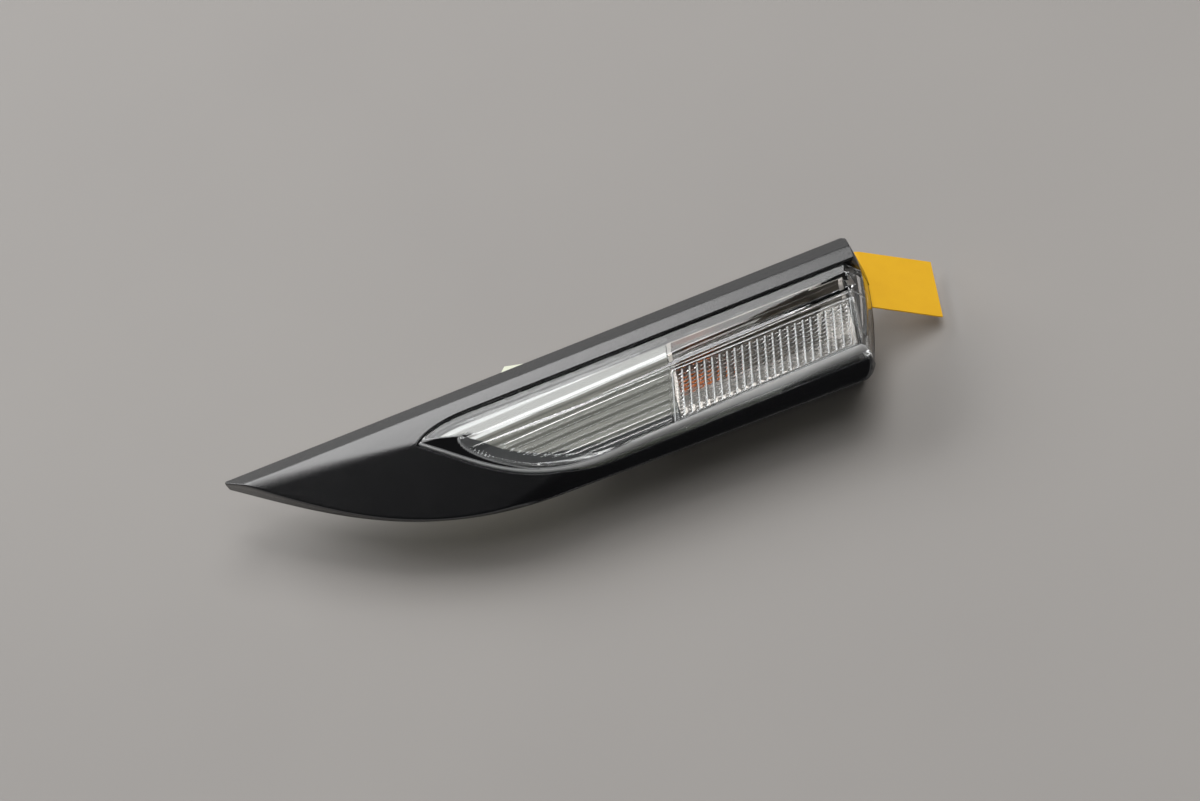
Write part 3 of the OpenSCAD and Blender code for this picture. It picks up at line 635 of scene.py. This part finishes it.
inner = add_grid(xi, yi, lens_height(xi, yi, lens_wall), True)
inner_loop = border_loop(inner)
add_strip(inner_loop, add_row([points[i][:2] for i in inner_loop], lens_foot))

mesh = bpy.data.meshes.new("lens_blank")
mesh.from_pydata([tuple(p) for p in to_part(points)], [], faces)


def ramp(value, width):
    """From 0 to 1 over a width."""
    return np.clip(value / width, 0, 1)


# What the optics need to know at each point: where it lies, and how far each pattern reaches it
field_names = ("along", "over", "flutes", "ribs", "frame", "ends", "rim", "border")
field = {name: np.zeros(len(points)) for name in field_names}

# Outer face: painted shade outside the plateau, the matt lower rim, and a painted highlight along the band's
# edge
off_rim = distance(x, y, lower_rim)
border = ramp(0.1 - side_of(x, y, plateau), 0.35) * ramp(off_rim - 0.28, 0.2)
# Painted highlight: a line along the band's lower edge, frosted white and stored with the rim's marks
painted_band_highlight = np.clip(1.25 - np.abs(below_top(x, y) - 22.95) / 0.28, 0, 0.9)
painted_band_highlight = painted_band_highlight * ramp(x - 66, 3) * ramp(150 - x, 15)
field["border"][outer.ravel()] = border.ravel()
field["rim"][outer.ravel()] = np.maximum(ramp(0.3 - off_rim, 0.1), painted_band_highlight).ravel()

# On the inner face: the flutes, the ribs with a frame line round them, and a line over the flutes
ids = inner.ravel()
ax, ay = xi.ravel(), yi.ravel()
over = -across(ax, ay)
slanted = ax - (ay - slant_y) * slant
flute_line = cubic([(70.0, -14.0), (75.0, -24.5), (88.0, -32.0), (100.0, -34.2)], 60)
flute_line = np.vstack([flute_line, [(124, -34.0)]])
inside = side_of(ax, ay, flute_line)
below_step = ramp(over - flute_top_y, 0.15)
ribs_far = ribs_x + rib_count * rib_pitch
high_line, low_line = 26.3 + 0.02 * (ax - ribs_x), 38.9 - 0.01 * (ax - ribs_x)
zone = np.minimum(slanted - ribs_x, ribs_far - slanted)
zone = np.minimum(zone, np.minimum(over - high_line, low_line - over))
frame_line = np.clip(1 - np.abs(zone + 0.6) / 0.3, 0, 1)
flute_rim = np.clip(1 - np.abs(over - np.interp(ax, [79, 112], [22.9, 24.9])) / 0.22, 0, 1)
flute_rim = flute_rim * ramp(side_of(ax, ay, plateau) - 1.6, 0.5)
field["along"][ids] = slanted - ribs_x
field["over"][ids] = over - 26.6
field["flutes"][ids] = ramp(inside, 0.3) * below_step * ramp(flute_end_x - slanted, 0.15)
field["ribs"][ids] = ramp(zone, 0.1)
field["frame"][ids] = np.maximum(frame_line, flute_rim)
field["ends"][ids] = np.clip(1 - np.abs(inside - 0.3) / 0.35, 0, 1) * below_step * (ax < 96)
for name, values in field.items():
    mesh.attributes.new(name, "FLOAT", "POINT").data.foreach_set("value", values.astype(np.float32))

# The skirt's foot closes the moulding between the outer and the inner wall
shape = bmesh.new()
shape.from_mesh(mesh)
weld(shape)
foot_level = (lens_foot + ref[2]) / 1000
at_foot = [e for e in shape.edges if all(abs(v.co.z - foot_level) < 1e-6 for v in e.verts)]
bmesh.ops.triangle_fill(shape, edges=[e for e in at_foot if len(e.link_faces) == 1], use_beauty=True)
into_mesh(shape, mesh)
blank = bpy.data.objects.new("lens_blank", mesh)
bpy.context.collection.objects.link(blank)

# Acrylic with the mirror finish of a polished tool. Tool marks that aren't polished scatter the light,
# and a frosted line along the band's lower edge is a painted highlight. The border outside the plateau
# is painted shade, dark as its steep wall looks from above. Shadow rays pass, so that the panel and the
# chrome are lit as they are through a real lens.
acrylic, tree, out = blank_material("clear_moulded_acrylic")
rays = put(tree, "ShaderNodeLightPath")
marks = put(tree, "ShaderNodeAttribute", attribute_name="unpolished")
clarity = put(tree, "ShaderNodeMapRange", {
    "Value": marks.outputs["Fac"], "From Min": 0.25, "To Min": 1.0, "To Max": 0.3})
haze = put(tree, "ShaderNodeMapRange", {
    "Value": marks.outputs["Fac"], "From Min": 0.25, "To Min": 0.0, "To Max": 0.25})
painted_border_fac = put(tree, "ShaderNodeAttribute", attribute_name="border")
# Painted shade: outside the plateau the acrylic turns near black and opaque
painted_border_shade = put(tree, "ShaderNodeMix", {
    0: painted_border_fac.outputs["Fac"], 6: srgb("#F4F5F5"), 7: srgb("#131314")}, data_type="RGBA")
open_share = put(tree, "ShaderNodeMath", {0: 1.0, 1: painted_border_fac.outputs["Fac"]}, operation="SUBTRACT")
passed = put(tree, "ShaderNodeMath", {0: clarity.outputs[0], 1: open_share.outputs[0]}, operation="MULTIPLY")
clear = put(tree, "ShaderNodeBsdfPrincipled", {
    "Base Color": painted_border_shade.outputs[2], "Roughness": haze.outputs[0],
    "IOR": 1.49, "Transmission Weight": passed.outputs[0]})
through = put(tree, "ShaderNodeBsdfTransparent", {"Color": srgb("#F4F6F6")})
mixed = put(tree, "ShaderNodeMixShader", {
    0: rays.outputs["Is Shadow Ray"], 1: clear.outputs[0], 2: through.outputs[0]})
tree.links.new(mixed.outputs[0], out.inputs["Surface"])

# The optics: ridges that hang from the inner face, with sizes in millimetres
optics = bpy.data.node_groups.new("lens_optics", "GeometryNodeTree")
for name, kind, value in [
    ("Geometry", "NodeSocketGeometry", None),
    ("Flute Pitch", "NodeSocketFloat", flute_pitch),
    ("Flute Depth", "NodeSocketFloat", 0.19),
    ("Rib Pitch", "NodeSocketFloat", rib_pitch),
    ("Rib Depth", "NodeSocketFloat", 0.45),
    ("Cell Pitch", "NodeSocketFloat", cell_pitch),
    ("Cell Depth", "NodeSocketFloat", 0.17),
    ("Frame Depth", "NodeSocketFloat", 0.25),
    ("Material", "NodeSocketMaterial", None),
]:
    socket = optics.interface.new_socket(name, in_out="INPUT", socket_type=kind)
    if value is not None:
        socket.default_value = value
optics.interface.new_socket("Geometry", in_out="OUTPUT", socket_type="NodeSocketGeometry")
given = put(optics, "NodeGroupInput")
result = put(optics, "NodeGroupOutput")
known = {socket.name: socket for socket in given.outputs}
for name in ("along", "over", "flutes", "ribs", "frame", "ends", "rim"):
    held = put(optics, "GeometryNodeInputNamedAttribute", {"Name": name}, data_type="FLOAT")
    known[name] = held.outputs["Attribute"]

# A row of rounded ridges is 0 in the valleys between them and 1 along their tops
recipe = []
for row, place, pitch in [
    ("flute row", "over", "Flute Pitch"),
    ("rib row", "along", "Rib Pitch"),
    ("cell row", "over", "Cell Pitch"),
]:
    recipe += [
        (row + " turns", "DIVIDE", place, pitch),
        (row + " share", "FRACT", row + " turns"),
        (row + " off", "MULTIPLY_ADD", row + " share", 2.0, -1.0),
        (row + " fall", "MULTIPLY", row + " off", row + " off"),
        (row, "SUBTRACT", 1.0, row + " fall"),
    ]

# How far each point hangs down, and then where the tool isn't polished: in the roots between the
# ribs and the cells, along the frame line, at the flutes' ends and on the rim. The rim's values also
# hold the painted highlight line along the band's lower edge.
recipe += [
    ("flute height", "MULTIPLY", "flute row", "Flute Depth"),
    ("rib height", "MULTIPLY", "rib row", "Rib Depth"),
    ("cell height", "MULTIPLY", "cell row", "Cell Depth"),
    ("frame height", "MULTIPLY", "frame", "Frame Depth"),
    ("flute drop", "MULTIPLY", "flute height", "flutes"),
    ("rib and cell", "ADD", "rib height", "cell height"),
    ("rib drop", "MULTIPLY", "rib and cell", "ribs"),
    ("optic drop", "ADD", "flute drop", "rib drop"),
    ("drop", "ADD", "optic drop", "frame height"),
    ("down", "MULTIPLY", "drop", -0.001),
    ("rib valley", "SUBTRACT", 1.0, "rib row"),
    ("rib root", "POWER", "rib valley", 1.6),
    ("cell valley", "SUBTRACT", 1.0, "cell row"),
    ("cell root", "POWER", "cell valley", 3.0),
    ("faint cell root", "MULTIPLY", "cell root", 0.6),
    ("root", "MAXIMUM", "rib root", "faint cell root"),
    ("root marks", "MULTIPLY", "root", "ribs"),
    ("frame marks", "MULTIPLY", "frame", 0.85),
    ("root and frame", "MAXIMUM", "root marks", "frame marks"),
    ("end marks", "MULTIPLY", "flute row", "ends"),
    ("inner marks", "MAXIMUM", "root and frame", "end marks"),
    ("unpolished", "MAXIMUM", "inner marks", "rim"),
]
for name, operation, *parts in recipe:
    inputs = {at: known.get(part, part) for at, part in enumerate(parts)}
    known[name] = put(optics, "ShaderNodeMath", inputs, operation=operation).outputs[0]
stored = {"Geometry": known["Geometry"], "Name": "unpolished", "Value": known["unpolished"]}
marked = put(optics, "GeometryNodeStoreNamedAttribute", stored, data_type="FLOAT", domain="POINT")
offset = put(optics, "ShaderNodeCombineXYZ", {"Z": known["down"]})
moved = put(optics, "GeometryNodeSetPosition", {"Geometry": marked.outputs[0], "Offset": offset.outputs[0]})
whole = put(optics, "GeometryNodeRealizeInstances", {"Geometry": moved.outputs[0]})
dressed = put(optics, "GeometryNodeSetMaterial", {
    "Geometry": whole.outputs[0], "Material": known["Material"]})
optics.links.new(dressed.outputs[0], result.inputs["Geometry"])

moulding = blank.modifiers.new("optics", "NODES")
moulding.node_group = optics
for item in optics.interface.items_tree:
    if item.in_out == "INPUT" and item.name == "Material":
        moulding[item.identifier] = acrylic
lens_mesh = bpy.data.meshes.new_from_object(blank.evaluated_get(bpy.context.evaluated_depsgraph_get()))
lens_mesh.name = "lens_moulding"
bpy.data.objects.remove(blank)
lens = bpy.data.objects.new("lens_moulding", lens_mesh)
bpy.context.collection.objects.link(lens)
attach(lens, "lamp")
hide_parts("lens")

# Trim panel
# A thin ABS moulding behind the flutes, lacquered dull silver. Its upper shoulder is rolled, and a
# dark fold and pale lines along it are painted shade and painted highlights. Outside the flutes'
# lower edge it is masked and stays black.


def dress(material, *names):
    """Gives CAD nodes their finish."""
    for name in names:
        mesh = nodes[name].data
        if not mesh.materials:
            mesh.materials.append(material)
        for slot in nodes[name].material_slots:
            slot.material = material


# Lacquer over a grooved face: painted shade darkens a line along each groove, 2.6 mm apart, and
# metal flakes give it a fine fleck. Both are laid along the lens's own edges.
groove_half, flecks_per_mm = 0.0013, 0.9
satin, tree, out = blank_material("satin_silver_lacquer")
coords = put(tree, "ShaderNodeTexCoord")
place = put(tree, "ShaderNodeMapping", {"Vector": coords.outputs["Object"], "Rotation": (0, 0, -lens_yaw)})
axes = put(tree, "ShaderNodeSeparateXYZ", {"Vector": place.outputs[0]})
# Painted shade: a dark line every 2.6 mm where the grooves lie
wave = put(tree, "ShaderNodeMath", {0: axes.outputs["Y"], 1: groove_half}, operation="PINGPONG")
painted_groove_shade = put(tree, "ShaderNodeMapRange", {"Value": wave.outputs[0], "From Min": 0.0001, "From Max": 0.0009})
fleck = put(tree, "ShaderNodeTexNoise", {
    "Vector": coords.outputs["Object"], "Scale": 1000 * flecks_per_mm, "Detail": 2.0})
pale = put(tree, "ShaderNodeMix", {
    0: fleck.outputs["Fac"], 6: srgb("#75736B"), 7: srgb("#82807A")}, data_type="RGBA")
tone = put(tree, "ShaderNodeMix", {
    0: painted_groove_shade.outputs[0], 6: srgb("#4C4B44"), 7: pale.outputs[2]}, data_type="RGBA")

# The mask's edge: a curve that gives Y for each X, within a box in the lamp's own millimetres
mask_x, mask_len, mask_y, mask_span = 60, 70, -40, 30
box_low = to_part([mask_x, mask_y, 0]).tolist()
box_high = to_part([mask_x + mask_len, mask_y + mask_span, 0]).tolist()
mask_line = [
    (60, -14.2), (66, -15.2), (70, -17.8), (75, -22.0), (80, -25.4),
    (86, -28.4), (93, -30.6), (101, -31.8), (112, -32.0), (130, -31.6)]
flat = put(tree, "ShaderNodeSeparateXYZ", {"Vector": coords.outputs["Object"]})
run = put(tree, "ShaderNodeMapRange", {
    "Value": flat.outputs["X"], "From Min": box_low[0], "From Max": box_high[0]})
masked = put(tree, "ShaderNodeFloatCurve", {"Value": run.outputs[0]})
line = masked.mapping.curves[0]
for x, y in mask_line[1:-1]:
    line.points.new((x - mask_x) / mask_len, (y - mask_y) / mask_span)
for end in (0, -1):
    x, y = mask_line[end]
    line.points[end].location = ((x - mask_x) / mask_len, (y - mask_y) / mask_span)
masked.mapping.update()
mask_edge = put(tree, "ShaderNodeMapRange", {
    "Value": masked.outputs[0], "To Min": box_low[1], "To Max": box_high[1]})
past = put(tree, "ShaderNodeMath", {0: flat.outputs["Y"], 1: mask_edge.outputs[0]}, operation="SUBTRACT")
cover = put(tree, "ShaderNodeMapRange", {"Value": past.outputs[0], "From Min": -0.0001, "From Max": 0.0001})

# Painted light on the rolled shoulder, from the flutes up: a painted dark fold of shade, a painted
# white highlight line, grey, a painted pale streak of highlight, and grey
shoulder_low, shoulder_high = -0.0135, -0.0035
shoulder = put(tree, "ShaderNodeMapRange", {
    "Value": axes.outputs["Y"], "From Min": shoulder_low, "From Max": shoulder_high})
painted_shoulder_bands = put(tree, "ShaderNodeValToRGB", {"Fac": shoulder.outputs[0]})
painted_shoulder_light_tones = [
    (0.0, "#000000"), (0.14, "#000000"), (0.19, "#D9D9D7"), (0.26, "#D9D9D7"), (0.31, "#7A7975"),
    (0.56, "#7D7C78"), (0.62, "#C4C4C2"), (0.74, "#BDBDBB"), (0.82, "#868581"), (1.0, "#868581")]
painted_band_stops = painted_shoulder_bands.color_ramp.elements
while len(painted_band_stops) < len(painted_shoulder_light_tones):
    painted_band_stops.new(0.5)
for stop, (at, code) in zip(painted_band_stops, painted_shoulder_light_tones):
    stop.position, stop.color = at, srgb(code)
# Where the painted shade and highlights of the shoulder take over from the lacquer
painted_shoulder_share = put(tree, "ShaderNodeMapRange", {"Value": shoulder.outputs[0], "From Min": 0.13, "From Max": 0.18})
tone = put(tree, "ShaderNodeMix", {
    0: painted_shoulder_share.outputs[0], 6: tone.outputs[2], 7: painted_shoulder_bands.outputs["Color"]}, data_type="RGBA")
lacquer = put(tree, "ShaderNodeMix", {
    0: cover.outputs[0], 6: srgb("#0E0E0F"), 7: tone.outputs[2]}, data_type="RGBA")
surface = put(tree, "ShaderNodeBsdfPrincipled", {"Base Color": lacquer.outputs[2], "Roughness": 0.55})
tree.links.new(surface.outputs[0], out.inputs["Surface"])
dress(satin, "trim_panel")

# Reflector
# The trough round the bulb with its bulkhead, an ABS moulding chromed in vacuum and lacquered
# over. Its lower edge is masked in the chamber, and stays bare black.
bare_below, plated_above, clouds_per_mm = -0.0290, -0.0287, 0.3

# Chrome under lacquer: a soft mirror, a little warm, whose haze varies over about 3 mm
chrome, tree, out = blank_material("vacuum_chromed_ABS")
coords = put(tree, "ShaderNodeTexCoord")
cloud = put(tree, "ShaderNodeTexNoise", {
    "Vector": coords.outputs["Object"], "Scale": 1000 * clouds_per_mm, "Detail": 3.0})
rough = put(tree, "ShaderNodeMapRange", {"Value": cloud.outputs["Fac"], "To Min": 0.26, "To Max": 0.34})
place = put(tree, "ShaderNodeMapping", {"Vector": coords.outputs["Object"], "Rotation": (0, 0, -lens_yaw)})
axes = put(tree, "ShaderNodeSeparateXYZ", {"Vector": place.outputs[0]})
plated = put(tree, "ShaderNodeMapRange", {
    "Value": axes.outputs["Y"], "From Min": bare_below, "From Max": plated_above})
tone = put(tree, "ShaderNodeMix", {
    0: plated.outputs[0], 6: srgb("#0E0E0F"), 7: srgb("#A8A29C")}, data_type="RGBA")
surface = put(tree, "ShaderNodeBsdfPrincipled", {
    "Base Color": tone.outputs[2], "Metallic": plated.outputs[0], "Roughness": rough.outputs[0]})
tree.links.new(surface.outputs[0], out.inputs["Surface"])
dress(chrome, "reflector")

# Sealant bead
# Black butyl laid warm in the housing's channel, so that the lens's skirt sinks into it and the
# lamp is sealed. It sets tacky and half glossy, and keeps the slow lumps of the nozzle's run.
sealant = grained_material("black_butyl_sealant", ("#1E1E20",), 0.5, 0.4, relief=(0.4, 0.0003))
dress(sealant, "sealant_bead")

# Housing
# The rear moulding in black PC and ABS, with the bulb chamber, the bayonet bore and the peg. It
# is hidden behind the body panel, so it is left as it comes from the tool: half matt, with the
# faint orange peel of a plain tool face.
housing_black = grained_material(
    "as_moulded_black_PC_ABS", ("#1B1B1C",), (0.34, 0.46), 0.7, {"Detail": 3.0}, relief=(0.15, 0.0002))
dress(housing_black, "housing")

# Breather membrane
# A small disc of woven vent film, welded over a hole in the chamber's end wall. Air passes and
# water doesn't. Its weave is drawn at 0.5 mm, coarser than the real one, so that it shows.
vent = grained_material("woven_vent_film", ("#D8D8D2",), 0.7, 2.0, relief=(0.3, 0.0001))
dress(vent, "breather_membrane")

# Housing screws
# Three self-tapping screws, zinc plated, driven from behind into the bezel's bosses. The thin
# plating is frosted, so the gloss varies from grain to grain.
zinc = grained_material("zinc_plated_steel", ("#C9CACD",), (0.28, 0.42), 1.5, more={"Metallic": 1.0})
dress(zinc, "housing_screw_1", "housing_screw_2", "housing_screw_3")

# Bulb and its leads
# A capless wedge bulb of amber glass, pushed into the holder, with nickel plated wires folded
# over its base. The amber drifts a little in the dipped glass, and drawing leaves the wire bright.
amber_tones = ("#C25A08", "#D4700F")
clear_coat = {"IOR": 1.5, "Transmission Weight": 0.35, "Coat Weight": 0.3}
amber = grained_material("amber_bulb_glass", amber_tones, 0.06, 0.18, {"Detail": 2.0}, more=clear_coat)
nickel = grained_material("nickel_plated_wire", ("#D3CCC0",), (0.18, 0.3), 0.9, more={"Metallic": 1.0})
dress(amber, "bulb")
dress(nickel, "bulb_lead_1", "bulb_lead_2")

# Bulb holder, its gasket and its contacts
# A nylon moulding that turns and locks in the housing's bore. A moulded rubber ring seals it, and
# two strips stamped from tinned brass grip the bulb and run on as the connector's pins.
nylon = grained_material("dark_grey_nylon", ("#4A4A4C",), (0.42, 0.55), 1.2)
# Rubber with a faint bloom: greyer clouds on a dull black
rubber = grained_material("moulded_black_EPDM", ("#1D1D1E", "#2A2A2B"), 0.7, 0.25, {"Detail": 3.0})
brass = grained_material("tinned_spring_brass", ("#D9B36A",), (0.2, 0.35), 0.8, more={"Metallic": 1.0})
dress(nylon, "bulb_holder")
dress(rubber, "holder_gasket")
dress(brass, "contact_1", "contact_2")

# Foam strips
# Closed-cell foam with adhesive on both faces, cut in three pieces to hold the lamp to the body
# panel and to seal its cut-out. The cells are drawn at 0.4 mm, about as the real ones are.
foam = grained_material(
    "closed_cell_black_foam", ("#232324",), 0.85, 2.6, relief=(0.4, 0.0001), kind="ShaderNodeTexVoronoi")
dress(foam, "tape_upper", "tape_nose", "tape_ring")

# Release film and pull tab
# A pale siliconised film covers the adhesive until the lamp is fitted. It peels off with the tab,
# which is paper with a matt yellow coating, die cut and stuck to the film.
film = grained_material("siliconised_release_film", ("#E3E6CC", "#EEF0DC"), 0.35, 0.045, {"Detail": 2.0})
fibres = {"Detail": 4.0, "Roughness": 0.6}
paper = grained_material("coated_yellow_paper", ("#EDB000", "#F7BF04"), 0.6, 0.22, fibres)
dress(film, "release_liner")
dress(paper, "pull_tab")
